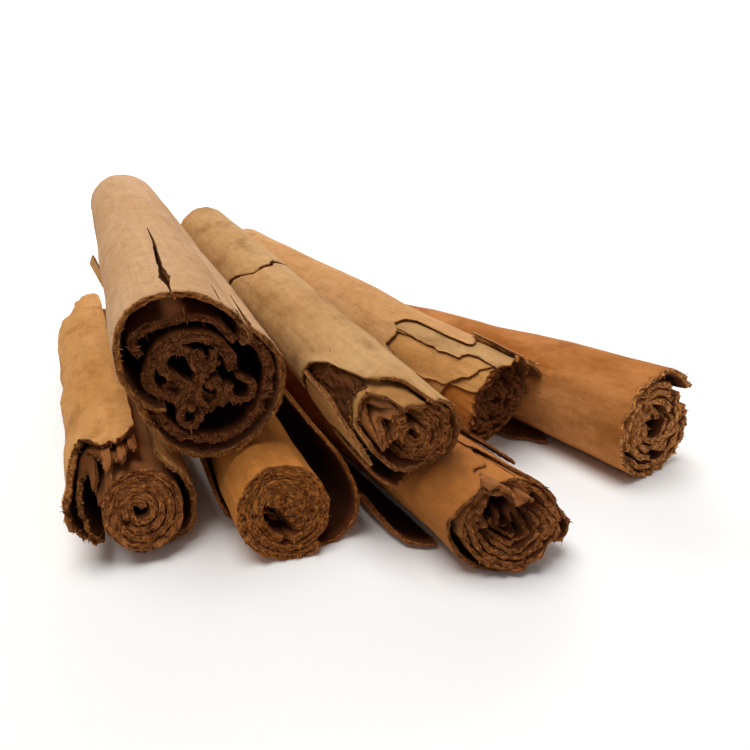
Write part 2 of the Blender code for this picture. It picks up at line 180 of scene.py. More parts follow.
def bark_sheet(name, quill, outline, thickness, finish, starts=0, ends=None, back=None, shrink=1,
               middle=False, columns=170, rows=60, crowd=0.12, ragged=0.25, frayed=0.2, crumble=0.2,
               fuzz=0.1, wobble=0.0, wrinkle=0.1, bites=0.0, wavy=0.0, rounded=0.35, lift=0.0, thin=0.0, rough=0.0,
               hidden=0.6, bare=None, pits=(), slits=(), cuts=3, seed=1, record_slot="outer_bark", fray=1.0,
               shreds=0, stands_for=None):
    """A sheet of bark rolled to an outline: a thick grid bent round, with torn edges and grain.

    outline and back are cross-sections of its outer face, or its middle, at the quill's two ends.
    starts and ends are where its broken edges lie along the quill. crowd below 1 packs the rows
    at the front. slit gives the angle-wise place and half width of a long tear, by length. A pit
    is a dip in the broken face, as x, z, radius and depth. lift curls the front edge outwards,
    thin wears the last long edge down to a feather, and hidden is how far light gets in from the
    ends; past it the colour is darkened as painted shade. bare is the length of the last turn's
    outer face, which light reaches all along and which gets no painted shade.
    """
    place, length, quill_seed = quill
    back = back or [(x * shrink, z * shrink) for x, z in outline]
    starts = starts if isinstance(starts, (list, tuple)) else [starts] * len(outline)
    ends = length if ends is None else ends
    ends = ends if isinstance(ends, (list, tuple)) else [ends] * len(outline)
    run, across = smooth_run([(*f, *b, s, e) for f, b, s, e in zip(outline, back, starts, ends)])

    sheet = bmesh.new()
    bmesh.ops.create_grid(sheet, x_segments=columns, y_segments=rows, size=0.5)

    def along_of(v):
        return 1 - (1 - crowd * v - (1 - crowd) * v ** 3) ** 1.5 if crowd < 1 else v

    turned_to = np.degrees(np.unwrap(np.arctan2(run[:, 1], run[:, 0])))
    tears = [(int(np.interp(angle, turned_to - 360 * (turned_to[0] > 180), np.linspace(0, 1, 2001)) * columns),
              lengths, widths) for angle, lengths, widths in slits]
    gone = []
    for face in sheet.faces:
        point = face.calc_center_median()
        for column, lengths, widths in tears:
            if int((point.x + 0.5) * columns) == column:
                if lengths[0] < along_of(point.y + 0.5) * length < lengths[-1]:
                    gone.append(face)
    bmesh.ops.delete(sheet, geom=gone, context="FACES")
    bmesh.ops.solidify(sheet, geom=sheet.faces[:], thickness=1.0)
    upright = [edge for edge in sheet.edges if abs(edge.verts[0].co.z - edge.verts[1].co.z) > 0.5]
    bmesh.ops.subdivide_edges(sheet, edges=upright, cuts=cuts, use_grid_fill=True)
    bmesh.ops.recalc_face_normals(sheet, faces=sheet.faces[:])
    mesh = bpy.data.meshes.new(name)
    sheet.to_mesh(mesh)
    sheet.free()

    flat = np.empty(len(mesh.vertices) * 3)
    mesh.vertices.foreach_get("co", flat)
    flat = flat.reshape(-1, 3)
    u, v, depth = flat[:, 0] + 0.5, flat[:, 1] + 0.5, np.abs(flat[:, 2])
    print("SHEET", name, "verts", len(flat), "faces", len(mesh.polygons), "depth", depth.min(), depth.max())
    rim = (depth > 0.01) & (depth < 0.99)
    zero, steps = np.zeros(len(u)), np.linspace(0, 1, 2001)

    # Long edges and broken ends, frayed.
    reach = along_of(v)
    rough_along = np.column_stack([zero, reach * length, zero + seed * 7.3])
    low = frayed * (0.5 + 0.35 * lumps(rough_along, 2.2, seed) + 0.3 * lumps(rough_along, 0.6, seed + 1))
    rough_along[:, 0] += 9.1
    high = frayed * (0.5 + 0.35 * lumps(rough_along, 2.2, seed) + 0.3 * lumps(rough_along, 0.6, seed + 1))
    u = (low + u * (across - low - high)) / across
    for column, lengths, widths in tears:
        half = np.interp(reach * length, lengths, widths) / across
        half = half * (1 + 0.45 * lumps(rough_along, 1.6, seed + 5) + 0.4 * lumps(rough_along, 0.5, seed + 7))
        offset = u - (column + 0.5) / columns
        u = u + np.sign(offset) * half * np.exp(-np.abs(offset) * across / 2.5)
        u = u - 0.03 * reach * length / across * np.exp(-np.abs(offset) * across / 2.5)
    at = np.column_stack([u * across, zero, zero + seed * 3.1])
    rough_front = ragged * (0.7 * lumps(at, 2.6, seed + 2) + 0.35 * lumps(at, 0.7, seed + 3)
                            + 0.25 * lumps(at, 0.3, seed + 4))
    rough_back = ragged * (0.7 * lumps(at, 2.4, seed + 5) + 0.35 * lumps(at, 0.7, seed + 6))
    rough_front += bites * np.clip(1.6 * lumps(at, 1.5, seed + 21) - 0.3, 0, 1)
    start = np.interp(u, steps, run[:, 4]) + rough_front
    front_x, front_z = (np.interp(u, steps, run[:, k]) for k in (0, 1))
    for pit_x, pit_z, pit_radius, pit_depth in pits:
        away = np.hypot(front_x - pit_x, front_z - pit_z) / pit_radius
        start += pit_depth * np.exp(-(away * (1 + 0.3 * lumps(at, 1.2, seed + 22))) ** 4)
    end = np.interp(u, steps, run[:, 5]) + rough_back
    along = start + (end - start) * reach
    into, from_back = along - start, end - along
    beside = np.column_stack([zero, along, zero + seed * 5.7])
    u = np.clip(u + wavy * lumps(beside, 1.4, seed + 26) / across * np.exp(-into / 2), 0, 1)
    crumbs = np.column_stack([u * across, depth * thickness, zero + seed])
    grit = lumps(crumbs, (0.75, 0.28, 1), seed + 8) + 0.6 * lumps(crumbs, 0.9, seed + 9)
    along = along + crumble * (np.exp(-into / 0.35) - np.exp(-from_back / 0.35)) * grit

    # Cross-section at that place, then the sheet's own thickness and grain.
    t = along / length
    x = np.interp(u, steps, run[:, 0]) * (1 - t) + np.interp(u, steps, run[:, 2]) * t
    z = np.interp(u, steps, run[:, 1]) * (1 - t) + np.interp(u, steps, run[:, 3]) * t
    slopes = [np.convolve(np.gradient(run[:, k]), np.ones(25) / 25, "valid") for k in range(4)]
    steps_in = steps[12:-12]
    dx = np.interp(u, steps_in, slopes[0]) * (1 - t) + np.interp(u, steps_in, slopes[2]) * t
    dz = np.interp(u, steps_in, slopes[1]) * (1 - t) + np.interp(u, steps_in, slopes[3]) * t
    size = np.hypot(dx, dz)
    out_x, out_z = dz / size, -dx / size
    edge = np.exp(-into / 0.18)
    depth_now = 0.5 + (depth - 0.5) * (1 - rounded * edge)
    surface = np.column_stack([u * across, along, depth * 4 + seed])
    relief = 0.018 * lumps(surface, (0.4, 7, 1), seed + 10) + wrinkle * lumps(surface, (2.5, 9, 1), seed + 11)
    relief += 0.5 * wrinkle * lumps(surface, (1.3, 3.0, 1), seed + 20)
    relief += 0.02 * lumps(surface, (0.7, 1.1, 1), seed + 12)
    relief += fuzz * np.exp(-into / 0.9) * (lumps(surface, (0.45, 0.5, 1), seed + 13)
                                            + 0.7 * lumps(surface, (0.2, 0.7, 1), seed + 15))
    relief += rough * (lumps(surface, (0.6, 1.3, 1), seed + 24) + 0.6 * lumps(surface, (0.3, 0.6, 1), seed + 25))
    relief += lift * np.exp(-into / 1.3) * (0.6 + 0.6 * lumps(at, 3.0, seed + 23))
    thick = thickness * (1 + 0.15 * lumps(surface, (2, 5, 1), seed + 14))
    if thin:
        thick *= np.clip((1 - u) * across / thin, 0.12, 1)
    inward = depth_now * thick - (thickness / 2 if middle else 0) - relief
    x, z = x - out_x * inward, z - out_z * inward

    # The whole quill's own unevenness, the same for all its sheets.
    spot = np.column_stack([x, along, z])
    bent = np.column_stack([x, along / 5, z])
    x = x + wobble * (lumps(bent, 2.4, seed + 16) + 0.5 * lumps(bent, 1.1, seed + 17))
    z = z + wobble * (lumps(bent, 2.4, seed + 18) + 0.5 * lumps(bent, 1.1, seed + 19))
    x = x + 0.30 * lumps(spot, 15, quill_seed) + 0.08 * lumps(spot, 5, quill_seed + 1)
    z = z + 0.30 * lumps(spot, 15, quill_seed + 2) + 0.08 * lumps(spot, 5, quill_seed + 3)

    def world(points):
        turned = np.array(place.to_3x3())
        moved = points * MM @ turned.T + np.array(place.translation)
        moved[:, 2] = np.maximum(moved[:, 2], 0)
        return moved

    mesh.vertices.foreach_set("co", world(np.column_stack([x, along, z])).ravel())
    mesh.attributes.new("grain", "FLOAT_VECTOR", "POINT").data.foreach_set(
        "vector", np.column_stack([u * across + seed * 11, along, depth]).ravel())
    mesh.attributes.new("torn", "FLOAT", "POINT").data.foreach_set(
        "value", np.where(rim, 1.0, 0.7 * np.exp(-np.minimum(into, from_back) / 0.25)))
    # Painted shade: how far a face lies inside the quill, past where light gets in, so that the bark material can
    # darken its colour there; the last turn's bare outer face gets none.
    bare = (0 if middle else across) if bare is None else bare
    covered = (depth > 0.5) | (u * across < across - bare)
    mesh.attributes.new("painted_shade_inside", "FLOAT", "POINT").data.foreach_set(
        "value", np.clip((np.minimum(into, from_back) - hidden) / 1.2, 0, 1) * covered)
    mesh.polygons.foreach_set("use_smooth", [True] * len(mesh.polygons))
    mesh.update()
    mesh.set_sharp_from_angle(angle=math.radians(60))
    mesh.materials.append(finish)

    front = (v < 1e-6) & (rim | (depth < 0.01) | (depth > 0.99))
    picked = np.column_stack([x, along, z])[front]
    outward = np.column_stack([out_x, zero, out_z])[front]
    torn_rims.append((name, world(picked), outward @ np.array(place.to_3x3()).T,
                      np.array(place.to_3x3()) @ np.array([0, -1, 0]), fray * across * thickness, shreds))

    piece = bpy.data.objects.new(name, mesh)
    bpy.context.scene.collection.objects.link(piece)
    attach(piece, "root")
    for node in (name,) if stands_for is None else stands_for:
        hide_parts(node)
    return piece


# Bark of true cinnamon: the inner bark of young shoots, scraped clean, so it is smooth and matt
# with faint lines along it, a warm tan outside, browner inside, and crumbly where it is cut.
def bark(name, light, tan, stain, inside, cut_light, cut_dark, stains=0.5, hollow_shade=1.0):
    material, tree = blank_material(name)
    grain = add(tree, "ShaderNodeAttribute", attribute_name="grain")
    torn = add(tree, "ShaderNodeAttribute", attribute_name="torn")
    parts = add(tree, "ShaderNodeSeparateXYZ", links={"Vector": grain.outputs["Vector"]})

    def pattern(scale, detail, roughness, offset=0.0, layers=1.0):
        """Noise on the unrolled sheet; scale is repeats in each millimetre, across and along."""
        placed = add(tree, "ShaderNodeMapping", links={"Vector": grain.outputs["Vector"]},
                     inputs={"Scale": (*scale, layers), "Location": (offset, offset, 0)})
        made = add(tree, "ShaderNodeTexNoise", links={"Vector": placed.outputs["Vector"]},
                   inputs={"Scale": 1.0, "Detail": detail, "Roughness": roughness})
        return made.outputs["Fac"]

    def ramp(source, low, high):
        made = add(tree, "ShaderNodeMapRange", links={"Value": source},
                   inputs={"From Min": low, "From Max": high})
        return made.outputs["Result"]

    def blend(factor, a, b, kind="MIX"):
        made = add(tree, "ShaderNodeMix", data_type="RGBA", blend_type=kind, clamp_factor=True)
        for socket, value in ((0, factor), (6, a), (7, b)):
            if isinstance(value, (float, list)):
                made.inputs[socket].default_value = value
            else:
                tree.links.new(value, made.inputs[socket])
        return made.outputs[2]

    patches = pattern((0.10, 0.045), 3.0, 0.55)
    streaks = pattern((1.6, 0.06), 3.0, 0.6, 3.0)
    clouds = pattern((0.22, 0.13), 4.0, 0.6, 9.0)
    specks = pattern((1.9, 1.1), 2.0, 0.5, 17.0)
    mottle = pattern((0.8, 0.5), 4.0, 0.65, 31.0)
    fibres = pattern((1.5, 2.4), 5.0, 0.68, 5.0, 4.2)
    skin = blend(ramp(patches, 0.35, 0.68), linear(light), linear(tan))
    skin = blend(ramp(clouds, 0.58 - 0.08 * stains, 1.05 - 0.2 * stains), skin, linear(stain))
    lines = add(tree, "ShaderNodeMapRange", links={"Value": streaks},
                inputs={"From Min": 0.3, "From Max": 0.7, "To Min": 0.92, "To Max": 1.05})
    skin = blend(1.0, skin, lines.outputs["Result"], "MULTIPLY")
    spots = add(tree, "ShaderNodeMapRange", links={"Value": mottle},
                inputs={"From Min": 0.3, "From Max": 0.7, "To Min": 0.86, "To Max": 1.09})
    skin = blend(1.0, skin, spots.outputs["Result"], "MULTIPLY")
    dots = add(tree, "ShaderNodeMapRange", links={"Value": specks},
               inputs={"From Min": 0.67, "From Max": 0.74, "To Min": 0.0, "To Max": 0.55})
    skin = blend(dots.outputs["Result"], skin, linear(inside))
    turned = blend(ramp(parts.outputs["Z"], 0.55, 0.95), skin, linear(inside))
    crumbly = blend(ramp(fibres, 0.38, 0.63), linear(cut_dark), linear(cut_light))
    edge = add(tree, "ShaderNodeMath", operation="ADD",
               links={0: torn.outputs["Fac"]}, inputs={1: -0.25})
    frayed = add(tree, "ShaderNodeMath", operation="MULTIPLY_ADD", use_clamp=True,
                 links={0: fibres, 2: edge.outputs[0]}, inputs={1: 0.6})
    colour = blend(ramp(frayed.outputs[0], 0.35, 0.75), turned, crumbly)
    # Painted shade: faces far inside the roll, away from its open ends, are darkened towards the shade factor, since
    # light does not get in there.
    painted_shade_inside = add(tree, "ShaderNodeAttribute", attribute_name="painted_shade_inside")
    shaded = add(tree, "ShaderNodeMapRange", links={"Value": painted_shade_inside.outputs["Fac"]},
                 inputs={"To Min": 1.0, "To Max": hollow_shade})
    colour = blend(1.0, colour, shaded.outputs["Result"], "MULTIPLY")

    fine = pattern((5.0, 0.5), 3.0, 0.6, 21.0)
    leather = add(tree, "ShaderNodeBump", links={"Height": mottle},
                  inputs={"Strength": 0.6, "Distance": 0.00025})
    fine_bump = add(tree, "ShaderNodeBump", links={"Height": fine, "Normal": leather.outputs["Normal"]},
                    inputs={"Strength": 0.35, "Distance": 0.00006})
    crumb_height = add(tree, "ShaderNodeMath", operation="MULTIPLY",
                       links={0: fibres, 1: torn.outputs["Fac"]})
    bump = add(tree, "ShaderNodeBump", links={"Height": crumb_height.outputs[0],
                                              "Normal": fine_bump.outputs["Normal"]},
               inputs={"Strength": 0.9, "Distance": 0.0005})
    shader = add(tree, "ShaderNodeBsdfPrincipled",
                 links={"Base Color": colour, "Normal": bump.outputs["Normal"]},
                 inputs={"Roughness": 0.8, "Specular IOR Level": 0.08})
    add(tree, "ShaderNodeOutputMaterial", links={"Surface": shader.outputs["BSDF"]})
    return material


pale_bark = bark("pale_cinnamon_bark", "#C49A72", "#BA8E60", "#9E6C42", "#6A4026", "#C48040", "#5E3012")
inner_bark = bark("inner_cinnamon_bark", "#8A5230", "#74401F", "#542C16", "#5C3018", "#9C5E34", "#44220F", hollow_shade=0.14)
toasted_bark = bark("toasted_cinnamon_bark", "#B4824A", "#9C6A3A", "#6C4424", "#5A3018", "#B87840", "#54301A",
                    hollow_shade=0.4)

top = (lie(-9.78, -42.19, 23.4, 25.5, 7.4), 88, 100)
knots = ((-152, 8.1, 7.7), (-136, 8.9, 7.7), (-123, 9.7, 7.7), (-112, 10.7, 7.7), (-101, 11.4, 7.7),
         (-90, 12.2, 7.7), (-76, 12.4, 7.7), (-64, 12.2, 7.7), (-51, 12.1, 7.7), (-39, 11.9, 7.7),
         (-27, 11.4, 7.7), (-11, 10.8, 7.7), (2, 10.3, 7.7), (15, 9.6, 7.7), (28, 8.9, 7.7), (36, 8.3, 7.7),
         (42, 7.9, 7.7), (50, 8.2, 7.7), (58, 8.6, 7.7), (69, 9.1, 7.7), (79, 9.6, 7.7), (89, 10.1, 7.7),
         (103, 10.7, 7.7), (115, 11.2, 7.7), (126, 11.2, 7.7), (136, 10.9, 7.7), (146, 10.4, 7.7),
         (158, 9.7, 7.7), (176, 8.8, 7.6), (186, 8.3, 7.3), (197, 7.9, 6.9), (208, 7.4, 5.9), (219, 6.9, 5.5),
         (228, 6.2, 5.3))
bark_sheet("top_quill_bark", top, polar(*[(angle, near) for angle, near, far in knots]), 0.8, pale_bark,
           back=polar(*[(angle, far) for angle, near, far in knots]), columns=420, rows=64, seed=1,
           starts=[0] * 14 + [0.2, 0.5, 1.0, 0.6] + [0] * 16, frayed=0.04, crumble=0.5, rough=0.02, ragged=0.32,
           bites=0.35,
           stands_for=("top_quill_left_bark", "top_quill_right_bark"), slits=[
               (102, (-1, 2, 3.4, 4.6, 7, 10, 13, 17, 21, 26, 31),
                (0.04, 0.06, 0.22, 0.4, 0.42, 0.3, 0.24, 0.16, 0.1, 0.06, 0.0)),
               (39, (-1, 2, 5, 12), (0.35, 0.28, 0.1, 0.0)), (52, (-1, 3, 9), (0.12, 0.1, 0.0)),
               (70, (1, 4, 7), (0.0, 0.05, 0.0))])
bark_sheet("top_quill_second_bark", top, polar(
    (-138, 7.85), (-120, 8.75), (-101, 10.0), (-83, 10.7), (-62, 10.8), (-40, 10.4), (-20, 9.8), (0, 9.2),
    (15, 8.5), (30, 7.7), (42, 7.3)), 1.3, inner_bark,
    back=polar((-138, 6.45), (-120, 6.45), (-101, 6.45), (-83, 6.45), (-62, 6.4), (-40, 6.4), (-20, 6.4),
               (0, 6.4), (15, 6.4), (30, 6.4), (42, 6.4)),
    starts=[0.6] * 8 + [0.9, 0.6, 0.4], columns=220, rows=44, seed=31, crumble=0.5, fuzz=0.22, bites=1.2,
    ragged=0.5, cuts=5, crowd=0.05, record_slot="inner_bark", fray=2)
bark_sheet("top_quill_hook_bark", top, polar(
    (32, 6.2), (46, 6.1), (62, 6.5), (82, 6.6), (102, 6.5), (118, 6.8), (130, 7.6), (145, 8.3), (156, 7.9),
    (166, 6.7)), 1.1, inner_bark,
    back=polar((32, 6.3), (46, 6.3), (62, 6.4), (82, 6.4), (102, 6.4), (118, 6.4), (130, 6.4), (145, 6.4),
               (156, 6.4), (166, 6.2)),
    starts=[1.6, 1.6, 1.8, 2.2, 3, 2.6, 2.6, 2.6, 2.6, 2.6], columns=170, rows=44, seed=41, crumble=0.5,
    fuzz=0.15, bites=0.8, ragged=0.35, cuts=5, crowd=0.05, record_slot="inner_bark", fray=2)
scrolls = dict(finish=inner_bark, shrink=0.68, middle=True, crumble=0.5, fuzz=0.16, wobble=0.22,
               ragged=0.5, bites=0.8, cuts=7, crowd=0.04, rows=34, rounded=0.2, record_slot="rolled_core",
               fray=1.5)
bark_sheet("top_quill_arched_scroll", top, [
    (4.3, -1.0), (4.1, 0.4), (3.3, 2.1), (2.2, 3.4), (0.8, 4.1), (-0.8, 4.1), (-2.4, 3.8), (-3.9, 2.9),
    (-5.0, 1.4), (-5.5, -0.2), (-5.3, -1.6), (-4.4, -2.8), (-3.0, -3.5)], 1.45, starts=1.3, columns=180,
    seed=51, **scrolls)
bark_sheet("top_quill_eye_scroll", top, [
    (0.6, -0.8), (-0.3, 0.6), (-0.7, 1.8), (-1.8, 2.5), (-3.2, 2.2), (-3.9, 0.9), (-3.5, -0.5), (-2.3, -1.3),
    (-1.1, -2.1), (-1.5, -3.5), (-3.0, -4.6)], 1.4, starts=1.6, columns=150, seed=61, **scrolls)
bark_sheet("top_quill_crooked_scroll", top, [
    (2.2, 2.2), (2.1, 0.6), (1.2, -0.6), (0.1, -1.9), (-0.3, -3.5), (0.1, -4.9), (1.4, -5.6), (2.7, -4.9),
    (2.9, -3.5), (2.2, -2.3), (1.0, -2.9)], 1.25, starts=1.5, columns=150, seed=71, **scrolls)
for part, centre, radius, turned in (("side_ring", (5.2, -3.6), 1.5, 140), ("low_ring", (-1.3, -6.3), 1.2, 60)):
    bark_sheet("top_quill_" + part, top, [(centre[0] + x, centre[1] + z) for x, z in polar(
        *[(turned + angle, radius) for angle in range(0, 331, 30)])], 1.05, starts=1.2, columns=90,
        seed=81, **scrolls)
bark_sheet("top_quill_hanging_shred", top, [(4.6, 5.6), (5.5, 5.0), (5.9, 4.2), (5.6, 3.3), (5.0, 2.8)], 0.5,
           toasted_bark, starts=[0.4, -0.2, -0.3, 0.2, 0.8], ends=6, columns=50, rows=30, crowd=1, seed=95,
           ragged=0.6, rough=0.08, crumble=0.4, bites=0.6, stands_for=())
# Crumbled layers between the scrolls, and a loose strip that has sprung off the quill's left side.
for step, (knots, thick) in enumerate((
        ([(-2.9, -5.2), (-1.6, -4.3), (0.2, -4.4), (1.9, -4.9), (3.4, -5.6)], 1.2),
        ([(0.6, 2.2), (0.6, 1.1), (1.4, 0.4), (2.9, 0.2)], 1.0),
        ([(-4.6, -3.3), (-3.4, -2.6), (-2.2, -3.1), (-0.9, -3.1), (0.6, -3.9)], 1.0))):
    bark_sheet("top_quill_crumbled_layer_%d" % (step + 1), top, knots, thick, starts=1.9, columns=90,
               seed=87 + 20 * step, stands_for=(), **scrolls)
bark_sheet("top_quill_side_strip", top, polar((184, 3.9), (190, 4.3), (194, 4.7)), 0.4, toasted_bark,
           back=polar((184, 12.5), (190, 13.2), (194, 13.8)), starts=[36, 37, 40], ends=[55, 55, 54.5],
           columns=40, rows=60, crowd=1, seed=97, ragged=0.7, hidden=9, stands_for=())


# Left quill: an outer sheet torn off at its front, a second sheet that bulges at the right, one
# more sheet between them and a tight core. Its back end is torn too.
golden_bark = bark("golden_cinnamon_bark", "#C89256", "#B67E42", "#865226", "#6A3E20", "#C07E42", "#60341A",
                   stains=0.9, hollow_shade=0.5)
core_bark = bark("rolled_core_bark", "#9A6238", "#844E26", "#5E341A", "#5E341A", "#CE8246", "#4E260E", hollow_shade=0.16)
# Torn open bark: darker brown bark under torn sheets, made darker still as painted shade where the sheets above shade
# it.
dark_open_bark_and_shade = bark("torn_open_bark_and_painted_shade", "#74441E", "#4E2A10", "#1E0E04", "#3A1C0A", "#A86C34", "#3E200C", stains=1.0)

left = (lie(-18.88, -44.59, 7.2, 26.3, 0.2), 86, 200)
bark_sheet("left_quill_bark", left, polar(
    (76, 7.2), (84, 7.2), (88, 7.2), (94, 7.2), (103, 7.2), (110, 7.2), (116, 7.25), (119, 7.3), (126, 7.3),
    (136, 7.4), (143, 7.5), (152, 7.6), (160, 7.6), (180, 7.5), (202, 7.2), (222, 6.8)), 0.75, golden_bark,
    shrink=1.03, starts=[8, 5.4, 4.2, 3.6, 4.2, 4.4, 5.6, 6.6, 7.3, 7.3, 5, 0, -0.6, 0, 0, 0],
    ends=[87, 89, 89, 89, 88, 86, 85.5, 85, 79, 77, 76, 76, 76, 76, 80, 82], columns=220, rows=76, seed=101,
    crowd=0.25, ragged=0.9, bites=1.4, crumble=0.45, fuzz=0.3, wrinkle=0.45, lift=0.45, rough=0.03)
# This under layer's dark colour is partly painted shade, cast by the torn front of the outer sheet.
bark_sheet("left_quill_under_layer", left, polar(
    (80, 6.2), (88, 6.2), (94, 6.25), (101, 6.2), (108, 6.2), (114, 6.2), (122, 6.2), (132, 6.2)), 0.5,
    dark_open_bark_and_shade, shrink=1.03, starts=[5, 2, 0, 1.6, -0.6, 2.6, 4.8, 6], ends=16, columns=130, rows=60,
    seed=106, crowd=0.06, ragged=1.2, bites=2.2, crumble=0.6, fuzz=0.45, wobble=0.35, rough=0.24, hidden=9,
    stands_for=())
for step, (angle, width, tip) in enumerate(((81, 11, 2.2), (93, 10, -0.4), (108, 12, -1.4))):
    bark_sheet("left_quill_torn_tab_%d" % (step + 1), left, polar(
        (angle - width / 2, 6.25), (angle, 6.4), (angle + width / 2, 6.3)), 0.42, core_bark, shrink=1.03,
        starts=[tip + 1.6, tip, tip + 1.2], ends=9, columns=60, rows=44, crowd=0.3, seed=107 + 30 * step,
        ragged=1.2, bites=1.4, crumble=0.5, fuzz=0.35, wobble=0.15, rough=0.2, hidden=9, stands_for=())
bark_sheet("left_quill_right_bark", left, polar(
    (-108, 6.4), (-95, 7.1), (-75, 7.3), (-60, 7.7), (-45, 8.2), (-30, 8.2), (-17, 7.7), (0, 7.3),
    (20, 7.0), (40, 7.1), (61, 7.2)), 0.7, golden_bark, shrink=1.03,
    starts=[0, 0, 0, 0, 0, 0, 0, -0.6, -1.5, -2.2, 1], columns=170, rows=56, seed=111, ragged=0.9,
    bites=1.4, crumble=0.45, fuzz=0.25, rough=0.04)
# The second sheet's dark colour is partly painted shade, cast by the outer sheet's torn flap above it.
bark_sheet("left_quill_second_bark", left, polar(
    (123, 6.1), (127, 6.15), (131, 6.2), (134, 6.25), (150, 6.4), (165, 6.3), (180, 6.1), (200, 5.9), (212, 5.8),
    (222, 5.8)), 0.6, dark_open_bark_and_shade, shrink=1.03, starts=[0.5, -2.4, -2.8, 3, 3, 0, -1, -1, -1, -1], ends=80,
    columns=130, rows=60, seed=121, ragged=0.7, crumble=0.4, fuzz=0.25, bites=0.5, rough=0.05,
    record_slot="inner_bark")


def spiral(centre, outer, pitch, turns, start, drift=(0, 0)):
    """Points of a spiral that winds inwards, clockwise; its middle drifts off the centre."""
    points = []
    steps = round(turns * 12)
    for step in range(steps + 1):
        angle = math.radians(start - 30 * step)
        radius = outer - pitch * step / 12
        points.append((centre[0] + drift[0] * step / steps + radius * math.cos(angle),
                       centre[1] + drift[1] * step / steps + radius * math.sin(angle)))
    return points[::-1]


def skew_cut(points, middle, by_x, by_z):
    """Where a cut that isn't square meets each point of a cross-section."""
    return [middle + by_x * x + by_z * z for x, z in points]


core = spiral((0.9, -0.8), 4.8, 0.92, 4.5, 160, (-0.6, 0.2))
rolled = dict(finish=core_bark, middle=True, crumble=0.42, fuzz=0.05, wobble=0.2, ragged=0.3, bites=0.5,
              rounded=0.08, cuts=4, crowd=0.04, rows=32, record_slot="rolled_core", fray=0.7)
bark_sheet("left_quill_core", left, core, 0.95, bare=30, shrink=1.03, starts=skew_cut(core, -0.8, 0.0, 0.4),
           columns=400, seed=131, pits=[(0.1, -0.7, 0.75, 3), (-1.6, -1.8, 0.5, 1.5)], **rolled)


# Gutter quill: a smooth tight roll lies in a wide open gutter of outer bark, and a loose flap
# stands off at its left.
tawny_bark = bark("tawny_cinnamon_bark", "#C8803C", "#B47030", "#865024", "#582E16", "#C47838", "#4A240E",
                  hollow_shade=0.4)

gutter = (lie(-0.18, -45.19, 6.2, 24.9, 0.0), 85, 300)
bark_sheet("gutter_quill_bark", gutter, polar(
    (302, 7.25), (311, 8.1), (325, 9.3), (340, 9.8), (356, 9.8), (372, 9.8), (394, 10.0), (410, 10.4)),
    0.6, tawny_bark,
    back=polar((302, 7.25), (311, 7.6), (325, 7.9), (340, 8.0), (356, 7.9), (372, 7.9), (394, 8.1),
               (410, 8.3)), starts=[0, 0, 0, 0, 0, 1, 3, 8], columns=140, rows=60, seed=141)
bark_sheet("gutter_quill_left_flap", gutter, polar(
    (166, 7.7), (180, 7.4), (196, 7.2), (214, 7.2), (230, 7.4)), 0.6, tawny_bark,
    starts=[18, 12, 9, 8, 9], columns=90, rows=70, seed=151, crowd=0.5, ragged=0.5)
roll = spiral((0.0, 0.0), 6.4, 1.02, 5.4, 308, (0.3, 0.5))
bark_sheet("gutter_quill_roll", gutter, roll, 1.06, bare=40, starts=skew_cut(roll, 0.3, -0.1, 0.25), columns=540,
           seed=161, pits=[(-1.6, -1.3, 1.4, 5), (-0.3, -3.0, 1.0, 3.5), (-2.6, 0.4, 0.6, 2)],
           **dict(rolled, finish=tawny_bark, middle=False, record_slot="outer_bark"))


# Torn quill: its outer sheet has torn open at the front left and cracked round behind. Under it
# show a curled strip, a second sheet, a crumbly core and a flake below.
torn = (lie(14.52, -43.49, 16.8, 29.6, 8.6), 86, 400)
straw_bark = bark("straw_cinnamon_bark", "#C09664", "#B38450", "#82542A", "#6A3E20", "#C07E42", "#60341A",
                  stains=0.9, hollow_shade=0.4)
shell = polar((-60, 6.0), (-30, 6.15), (0, 6.2), (30, 5.9), (60, 5.8), (82, 5.8), (88, 5.8), (93, 5.8),
              (106, 5.8), (115, 5.8), (125, 5.8), (130, 5.8), (137, 5.8), (143, 5.8), (157, 5.8), (172, 5.8),
              (190, 5.8), (214, 5.8))
crack = [48, 48, 47, 46.5, 46, 46, 45, 44.6, 44.5, 44, 44, 45, 46, 47, 49, 50, 50, 50]
bark_sheet("torn_quill_bark", torn, shell, 0.6, straw_bark, shrink=1.08,
           starts=[-1, -2, -2.2, -2.4, -2.6, -3.4, -1.5, 1.2, 2.8, 3.8, 5.2, 6.8, 9.2, 12.5, 15.4, 17, 18, 18.5],
           ends=crack, columns=190, rows=72, seed=171, crowd=0.3, ragged=0.5, lift=0.35, crumble=0.3,
           bites=0.5, hidden=2)
bark_sheet("torn_quill_rear_bark", torn, shell, 0.6, straw_bark, shrink=1.08,
           starts=[place + 0.9 for place in crack], columns=140, rows=46, seed=181, crowd=0.25, ragged=0.6,
           hidden=2)
bark_sheet("torn_quill_strip", torn, polar((172, 6.4), (176, 6.0), (184, 5.8), (192, 5.8), (204, 5.9), (216, 6.1)),
           0.5, toasted_bark, shrink=1.06, starts=[12.9, 9.4, 6.8, 4.6, 1.0, -0.6], ends=[16.5] * 6, columns=70,
           rows=60, seed=191, crowd=1, ragged=0.5, wrinkle=0.2, hidden=9, rough=0.04)
bark_sheet("torn_quill_second_bark", torn, polar(
    (84, 4.8), (98, 4.8), (107, 4.8), (115, 4.8), (120, 4.8), (128, 4.8), (136, 4.8), (150, 4.8), (184, 4.8),
    (193, 4.8), (198, 4.8), (216, 4.8), (250, 4.8), (290, 4.8), (325, 4.8)), 0.7, toasted_bark, shrink=1.08,
    starts=[-2.4, -2.2, -2, -1.8, 1.5, 3, 4.4, 4.4, 4.4, 2.7, 0.7, 0.2, -1.5, -2, -2], columns=160, rows=60,
    seed=201, ragged=0.6, crumble=0.3, bites=0.6, lift=0.25, hidden=9)
